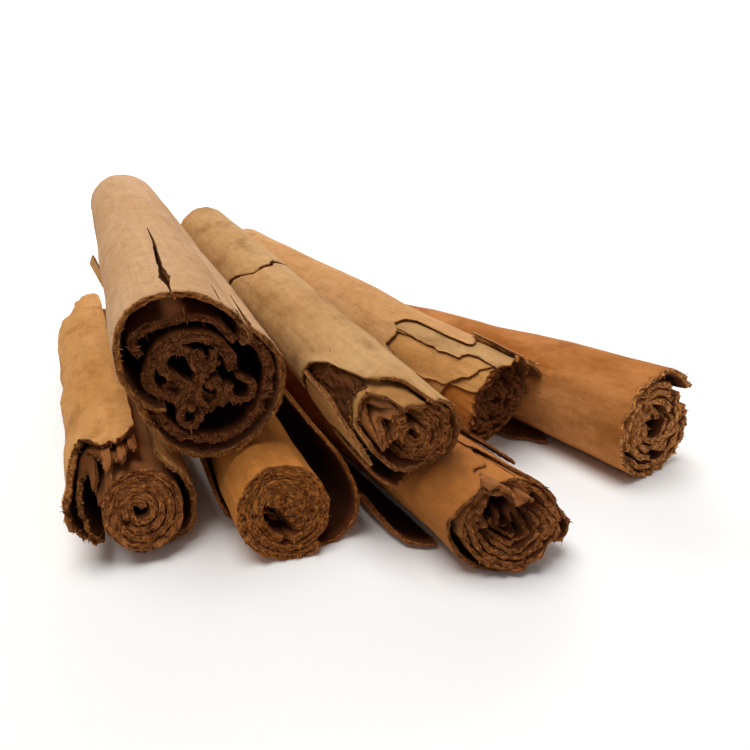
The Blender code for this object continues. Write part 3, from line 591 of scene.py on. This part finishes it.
# Two thin inner layers that the tear laid bare: one pitted and dark (its darkness partly painted shade), one curled
# inside the second.
bark_sheet("torn_quill_pitted_layer", torn, polar((128, 5.18), (144, 5.2), (160, 5.2), (176, 5.2), (198, 5.15)),
           0.3, dark_open_bark_and_shade, shrink=1.08, starts=[5.0, 5.6, 6.0, 5.0, 4.0], ends=24, columns=90, rows=110,
           seed=206, crowd=1, ragged=0.9, wrinkle=0.2, rough=0.38, crumble=0.3, hidden=9, stands_for=())
bark_sheet("torn_quill_inner_layer", torn, polar((118, 3.9), (136, 3.9), (150, 3.9), (166, 3.9), (181, 3.9),
           (192, 3.9), (206, 3.9)), 0.45, core_bark, shrink=1.08, starts=[0, 2, 4.6, 3.4, 1.6, 0.2, -0.8],
           ends=20, columns=90, rows=60, seed=208, crowd=0.4, ragged=0.6, wrinkle=0.15, rough=0.08, hidden=3,
           stands_for=())
core = spiral((0.75, 0.1), 4.45, 0.8, 4.9, 80, (-0.4, -0.3))
bark_sheet("torn_quill_core", torn, core, 0.82, shrink=1.08, starts=skew_cut(core, -1.0, -0.28, 0.0),
           columns=370, seed=211, pits=[(-1.2, -2.6, 1.35, 6), (0.2, 2.6, 0.9, 3.5), (-2.6, 0.9, 0.8, 2)],
           **dict(rolled, wobble=0.35, bites=1.2, crumble=0.5))
bark_sheet("torn_quill_under_flake", torn, polar((222, 6.4), (238, 7.0), (254, 7.4), (268, 7.4), (280, 6.9)),
           0.5, core_bark, shrink=1.08, starts=[2, 0, -1, -1, 0], ends=14, columns=60, rows=40,
           seed=221, crowd=1, ragged=0.9, record_slot="inner_bark")


# Chipped quill: thin outer layers have flaked off near its front, down to the sheet below, and a
# loose sliver lies on top.
amber_bark = bark("amber_cinnamon_bark", "#CA9866", "#BE8852", "#986234", "#6A4024", "#B67840", "#522C16")

chipped = (lie(29.12, -19.39, 10.7, 38.6, 8.0), 83, 500)


def around(middle, *knots):
    return [(middle[0] + x, middle[1] + z) for x, z in polar(*knots)]


def layer(name, radius, knots, finish, **settings):
    """One thin outer layer of this quill; knots are angle and where its flaked edge lies."""
    ring = tuple((angle, radius) for angle, edge in knots)
    bark_sheet(name, chipped, around((1.0, -0.9), *ring), 0.27, finish,
               back=[(x * 0.96, z * 0.96) for x, z in polar(*ring)], starts=[edge for angle, edge in knots],
               **dict(dict(columns=200, rows=60, crowd=0.3, ragged=0.75, wavy=0.6, crumble=0.15, fuzz=0.03,
                           lift=0.36, rounded=0.1, cuts=1, hidden=9), **settings))


layer("chipped_quill_bark", 7.72, (
    (-150, 2), (-120, 1), (-85, 0), (-50, 0), (-15, 0), (20, -0.5), (45, -1), (66, -1), (72, -1), (76, 4),
    (79, 7.2), (83, 6.4), (88, 5.6), (96, 5.0), (100, 5.8), (101, 10), (103, 13), (104, 17.4), (107, 19.2),
    (114, 20), (122, 20.8), (127, 19), (140, 19), (150, 19.5), (158, 17), (170, 14), (190, 10)),
    amber_bark, seed=231, columns=250)
layer("chipped_quill_second_layer", 7.46, (
    (60, -1), (76, -1.6), (94, -2.3), (108, -2.1), (110, 0.2), (112, 3.8), (118, 4.6), (123, 4.8), (125, 7.4),
    (127, 9.4), (127.5, 11.4), (125, 14), (126, 16), (129, 18.4), (140, 19), (150, 19.5), (158, 16), (170, 12)),
    straw_bark, seed=233, ends=32, stands_for=())
layer("chipped_quill_third_layer", 7.2, (
    (90, -1.5), (108, -1.0), (122, 0.4), (133, 0.6), (139, 1.4), (143, 2.4), (148, 3.3), (153, 3.9), (157, 4.6),
    (161, 6.0), (165, 8.5), (168, 12), (176, 13), (196, 10)),
    golden_bark, seed=235, ends=30, stands_for=(), columns=170)
layer("chipped_quill_fourth_layer", 6.94, (
    (100, -1.2), (121, -1.1), (139, -1.2), (147, -1.3), (151, 0), (154, 2.4), (158, 4), (170, 5), (190, 6)),
    golden_bark, seed=237, ends=28, stands_for=(), columns=130)
angles = tuple((angle, 6.68) for angle in range(100, 431, 30))
bark_sheet("chipped_quill_inner_bark", chipped, around((1.0, -0.9), *angles), 0.6, tawny_bark,
           back=[(x * 0.96, z * 0.96) for x, z in polar(*angles)], starts=[-0.6, -0.9, -1, -1, -0.6, 0, 0, 0, 0, 0, 1.5, 3.5],
           columns=180, rows=56, seed=241, crumble=0.4, fuzz=0.2, ragged=0.8, hidden=9, shreds=4)
core = spiral((1.0, -0.9), 5.6, 0.95, 5.0, 60, (0.3, 0.4))
bark_sheet("chipped_quill_core", chipped, core, 0.9,
           back=[((x - 1.0) * 0.94, (z + 0.9) * 0.94) for x, z in core], starts=-0.4, columns=400, seed=251,
           pits=[(3.2, 1.6, 0.9, 3), (-1.6, 1.4, 0.8, 2), (1.0, -3.6, 0.9, 2.5), (4.4, -2.2, 0.7, 2),
                 (0.6, 2.6, 0.7, 2), (3.4, 4.2, 2.0, 4.0)],
           **dict(rolled, finish=inner_bark, wobble=0.45, crumble=0.6, bites=1.6, ragged=0.6))
bark_sheet("chipped_quill_sliver", chipped, around((1.0, -0.9), (58, 8.1), (65, 8.3), (73, 8.5), (80, 8.6)), 0.3,
           amber_bark, starts=[-1.0, -3.6, -4.8, -1.5], ends=[9.5, 9, 8.6, 8.2], columns=44, rows=60, seed=261,
           crowd=1, crumble=0.1, fuzz=0.02, shreds=4, hidden=9)
bark_sheet("chipped_quill_end_curl", chipped, around((1.0, -0.9), (-6, 8.0), (8, 8.9), (22, 9.3), (38, 8.7)),
           0.35, amber_bark, starts=[-0.8, -1.8, -2.2, -1.2], ends=5, columns=60, rows=30, seed=266, crowd=1,
           ragged=0.6, hidden=9, stands_for=())


# Front quill: a smooth outer sheet over a layered core, with a loose gutter of bark under its
# lower left side and a small flake at its right.
warm_bark = bark("warm_cinnamon_bark", "#B27036", "#9E602C", "#78461E", "#582E16", "#B4703A", "#3C1C0A",
                 hollow_shade=0.2)
front = (lie(25.72, -48.09, 6.4, 29.6, 0.0), 85, 600)
bark_sheet("front_quill_bark", front, around(
    (0.3, 0), (77, 6.3), (84, 6.4), (88, 6.4), (90, 6.4), (105, 6.4), (110, 6.4), (112, 6.4), (130, 6.5),
    (150, 6.8), (171, 7.0), (193, 6.5), (215, 6.4), (240, 6.3), (265, 6.4), (290, 6.4), (315, 6.6),
    (340, 6.7), (360, 6.4), (385, 6.4), (410, 6.4), (425, 6.5), (438, 6.6), (447, 6.65)), 0.6, warm_bark,
    shrink=0.98, starts=[9, 7.4, 5.4, 4, 3.7, 3.2, 0.6, 0.6, 1.2, 2, 2.2, 1.6, 0.6, 0, -0.6, -1.2, -2, -2.4,
                         -2.2, -1.4, 1, 7, 9], columns=240, rows=64, seed=271, ragged=0.35, thin=2.5, lift=0.15,
    crumble=0.25, hidden=9)
bark_sheet("front_quill_under_layer", front, around(
    (0.3, 0), (10, 5.95), (40, 5.95), (60, 5.95), (80, 5.95), (100, 5.95), (118, 5.9)), 0.4, warm_bark,
    shrink=0.98, starts=[-1.6, -1.2, -0.4, 0.2, 0.4, 1.4], ends=30, columns=100, rows=60, seed=276,
    crowd=0.2, ragged=0.5, wrinkle=0.15, bites=0.8, crumble=0.3, hidden=9, stands_for=())
bark_sheet("front_quill_lifted_flake", front, around((0.3, 0), (38, 7.05), (48, 7.1), (57, 7.2), (64, 7.4)),
           0.32, warm_bark, shrink=0.98, starts=[4, 5.5, 7, 10], ends=[13, 17, 19, 15], columns=60, rows=70,
           seed=278, crowd=1, ragged=1.4, frayed=0.9, wrinkle=0.12, hidden=9, stands_for=())
bark_sheet("front_quill_crumpled_chip", front, [
    (2.3, 2.7), (2.2, 3.9), (1.3, 4.6), (0.5, 3.9), (-0.3, 4.7), (-0.9, 5.7), (-1.9, 5.2), (-2.6, 5.5)], 0.5,
    core_bark, starts=[-0.2, -2.0, -2.6, -1.6, -2.8, -1.8, -1.2, 0], ends=3, columns=100, rows=44, seed=279,
    crowd=1, ragged=0.7, wrinkle=0.3, wobble=0.25, rough=0.12, crumble=0.3, bites=0.6, hidden=9,
    stands_for=())
bark_sheet("front_quill_small_chip", front, [(-1.1, 6.1), (-1.9, 6.8), (-2.7, 6.6), (-2.9, 5.8)], 0.5, core_bark,
           starts=[-0.8, -1.5, -1.3, -0.6], ends=1.2, columns=44, rows=24, seed=280, crowd=1, ragged=0.5,
           wobble=0.2, rough=0.1, hidden=9, stands_for=())
core = spiral((0.3, 0.0), 5.45, 0.72, 5.6, 75, (0.5, 0.3))
bark_sheet("front_quill_core", front, core, 0.6, shrink=0.98, starts=skew_cut(core, -0.6, -0.42, 0.2),
           columns=470, seed=281, pits=[(1.0, 1.2, 2.3, 7), (-1.5, -1.0, 1.0, 3.5), (3.2, 2.6, 1.2, 5)],
           **dict(rolled, wobble=0.55, crumble=0.5, bites=1.8, ragged=0.7, cuts=3))
for step, knots in enumerate(([(-0.9, 2.4), (0.0, 1.5), (0.1, 0.4), (-0.7, -0.4)],
                              [(1.0, 2.6), (1.7, 1.5), (1.5, 0.3), (2.2, -0.6)],
                              [(-1.6, 0.6), (-0.4, -0.6), (1.0, -0.9), (2.2, -0.4)],
                              [(2.9, 2.3), (2.6, 1.2), (3.2, 0.2)])):
    bark_sheet("front_quill_loose_layer_%d" % (step + 1), front, knots, 0.32, columns=60, seed=283 + 30 * step,
               starts=0.6, stands_for=(),
               **dict(rolled, finish=inner_bark, wobble=0.5, crumble=0.4, bites=1.5, ragged=0.8, rough=0.08, cuts=2))
bark_sheet("front_quill_gutter", front, [(-9.3, -3.7), (-9.1, -4.9), (-8.1, -5.8), (-6.2, -6.2), (-4.2, -6.3)],
           0.6, core_bark, back=[(-7.0, -3.6), (-6.9, -4.6), (-6.2, -5.5), (-5.0, -6.1), (-3.6, -6.2)],
           starts=[19, 12.5, 9.2, 7.8, 7.4], columns=70, rows=70, seed=291, crowd=0.5, wrinkle=0.15,
           record_slot="inner_bark")
bark_sheet("front_quill_side_flake", front, [(7.0, -3.9), (8.6, -3.8), (9.6, -3.1), (9.8, -1.9), (8.9, -0.6),
           (7.6, 0.9), (6.6, 1.9)], 0.45, core_bark, shrink=0.98, starts=[-1.6, -1.8, -1.6, -1.8, -1.4, -1.6, -0.6],
           ends=[3.5, 4.5, 5.5, 6, 5.5, 5, 4], columns=90, rows=34, seed=301, crowd=1, ragged=0.6, bites=0.5,
           record_slot="inner_bark")


# Right quill: outer bark with an overhanging hook at the top, an open scroll inside and a
# pointed flap of bark low at its left.
orange_bark = bark("orange_cinnamon_bark", "#C28048", "#98581E", "#743E14", "#5E341A", "#FFB068", "#6A3818",
                   stains=0.8, hollow_shade=0.22)

right = (lie(53.42, -25.19, 8.75, 33.6, -1.7), 85, 700)
bark_sheet("right_quill_bark", right, polar(
    (34, 8.7), (50, 8.9), (70, 8.9), (91, 8.8), (130, 8.8), (155, 8.8), (199, 8.8), (240, 8.7), (273, 8.8),
    (298, 9.1), (324, 9.4), (347, 9.2), (362, 8.5), (374, 7.7)), 0.95, orange_bark, shrink=0.72,
    starts=[-0.4, -0.6, -0.4, 0, 0, 0, 0, 0, 0, 0, 0, 0, 0, 0], columns=230, rows=60, seed=311, crumble=0.45,
    ragged=0.5, bites=0.7, frayed=0.5, cuts=4)
core = spiral((0.0, 0.0), 7.4, 1.35, 4.15, 10, (0.1, 0.2))
bark_sheet("right_quill_scroll", right, core, 0.95, shrink=0.72, columns=420, seed=321,
           pits=[(0.1, 0.1, 1.9, 7), (4.1, 1.0, 0.7, 3), (3.9, 2.2, 0.6, 2.5), (6.6, -1.2, 0.6, 2.5),
                 (2.1, -5.1, 0.7, 3), (0.9, -5.5, 0.6, 2), (-5.6, -3.6, 0.8, 3), (-4.8, -4.6, 0.6, 2),
                 (4.4, 4.4, 0.6, 2)],
           **dict(rolled, finish=orange_bark, wobble=0.35, cuts=5, bites=0.9))
bark_sheet("right_quill_flap", right, [(-11.0, -7.4), (-10.6, -8.3), (-9.4, -8.6), (-7.4, -8.6), (-5.6, -8.55),
           (-3.0, -8.3)], 0.4, core_bark,
           back=[(-8.4, -5.2), (-8.2, -5.8), (-7.2, -6.0), (-5.8, -6.0), (-4.2, -6.0), (-2.6, -5.85)],
           starts=[29, 25, 20.5, 18.5, 15.6, 19], ends=[44, 48, 52, 54, 54, 52], columns=90, rows=70, seed=331,
           crowd=1, ragged=1.0, wrinkle=0.2, hidden=9, record_slot="inner_bark")


# Torn fibres. Where bark is sawn or broken, thin splinters of it stand out of the rim, one end
# still in the bark, with small crumbs and a few broader shreds. They are as brown as the cut.
def scattered(name, template, places, directions, lengths, widths, shades, finish):
    """One mesh of many small copies of a shape, each along its own direction."""
    verts = np.array([vert.co[:] for vert in template.verts])
    faces = np.array([[vert.index for vert in face.verts] for face in template.faces])
    helper = np.where(np.abs(directions[:, 2:]) < 0.9, [[0, 0, 1]], [[1, 0, 0]])
    side = np.cross(directions, helper)
    side /= np.linalg.norm(side, axis=1)[:, None]
    third = np.cross(directions, side)
    spots = (places[:, None] + verts[None, :, :1] * widths[:, None, None] * side[:, None]
             + verts[None, :, 1:2] * widths[:, None, None] * third[:, None]
             + verts[None, :, 2:] * lengths[:, None, None] * directions[:, None])
    spots[:, :, 2] = np.maximum(spots[:, :, 2], 0.00002)
    mesh = bpy.data.meshes.new(name)
    all_faces = faces[None] + len(verts) * np.arange(len(places))[:, None, None]
    mesh.from_pydata(spots.reshape(-1, 3).tolist(), [], all_faces.reshape(-1, faces.shape[1]).tolist())
    mesh.attributes.new("shade", "FLOAT", "POINT").data.foreach_set("value", np.repeat(shades, len(verts)))
    mesh.materials.append(finish)
    piece = bpy.data.objects.new(name, mesh)
    bpy.context.scene.collection.objects.link(piece)
    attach(piece, "root")
    return piece


splinter_bark, tree = blank_material("torn_cinnamon_fibre")
shade = add(tree, "ShaderNodeAttribute", attribute_name="shade")
tone = add(tree, "ShaderNodeMix", data_type="RGBA", links={0: shade.outputs["Fac"]},
           inputs={6: linear("#4E2814"), 7: linear("#C07C46")})
shader = add(tree, "ShaderNodeBsdfPrincipled", links={"Base Color": tone.outputs[2]},
             inputs={"Roughness": 0.8, "Specular IOR Level": 0.08})
add(tree, "ShaderNodeOutputMaterial", links={"Surface": shader.outputs["BSDF"]})

dice = np.random.default_rng(77)


def rooted_bits(counts, sunk, spread, around_out):
    """Places on the torn rims and directions that lean forward out of them."""
    places, leans = [], []
    for count, (name, rim, outward, ahead, amount, extra) in zip(counts, torn_rims):
        picks = dice.integers(0, len(rim), count)
        places.append(rim[picks] - ahead * sunk * MM)
        leans.append(ahead + dice.normal(0, spread, (count, 3))
                     + outward[picks] * dice.normal(0, around_out, (count, 1)))
    leans = np.concatenate(leans)
    return np.concatenate(places), leans / np.linalg.norm(leans, axis=1)[:, None]


splinter = bmesh.new()
bmesh.ops.create_cone(splinter, segments=3, radius1=1, radius2=0.3, depth=1, cap_ends=True, cap_tris=True,
                      matrix=Matrix.Translation((0, 0, 0.5)))
bmesh.ops.triangulate(splinter, faces=splinter.faces[:])
splinter.verts.index_update()
places, leans = rooted_bits([int(rim[4] * 7) for rim in torn_rims], 0.12, 0.6, 0.6)
count = len(places)
print("SPLINTERS", count)
scattered("torn_fibres", splinter, places, leans, dice.gamma(2.2, 0.14, count) * MM,
          dice.uniform(0.04, 0.12, count) * MM, dice.uniform(0.1, 0.8, count), splinter_bark)
splinter.free()

crumb = bmesh.new()
bmesh.ops.create_icosphere(crumb, subdivisions=1, radius=1)
for vert in crumb.verts:
    vert.co *= dice.uniform(0.6, 1.2)
bmesh.ops.triangulate(crumb, faces=crumb.faces[:])
crumb.verts.index_update()
places, leans = rooted_bits([int(rim[4] * 3) for rim in torn_rims], 0.02, 1.0, 0.5)
count = len(places)
print("CRUMBS", count)
scattered("bark_crumbs", crumb, places, leans, dice.uniform(0.04, 0.13, count) * MM,
          dice.uniform(0.05, 0.15, count) * MM, dice.uniform(0.05, 0.55, count), splinter_bark)
crumb.free()

shred = bmesh.new()
bmesh.ops.create_cube(shred, size=1, matrix=Matrix.Translation((0, 0, 0.5)) @ Matrix.Diagonal((1, 0.2, 1, 1)))
long_edges = [edge for edge in shred.edges if abs(edge.verts[0].co.z - edge.verts[1].co.z) > 0.5]
bmesh.ops.subdivide_edges(shred, edges=long_edges, cuts=3, use_grid_fill=True)
for vert in shred.verts:
    vert.co.x *= 1 - 0.45 * vert.co.z
    vert.co.y += 0.5 * vert.co.z ** 2
bmesh.ops.triangulate(shred, faces=shred.faces[:])
shred.verts.index_update()
places, leans = rooted_bits([rim[5] for rim in torn_rims], 0.3, 0.35, 0.3)
count = len(places)
scattered("bark_shreds", shred, places, leans, dice.uniform(0.4, 1.1, count) * MM,
          dice.uniform(0.3, 0.8, count) * MM, dice.uniform(0.3, 1, count), splinter_bark)
shred.free()
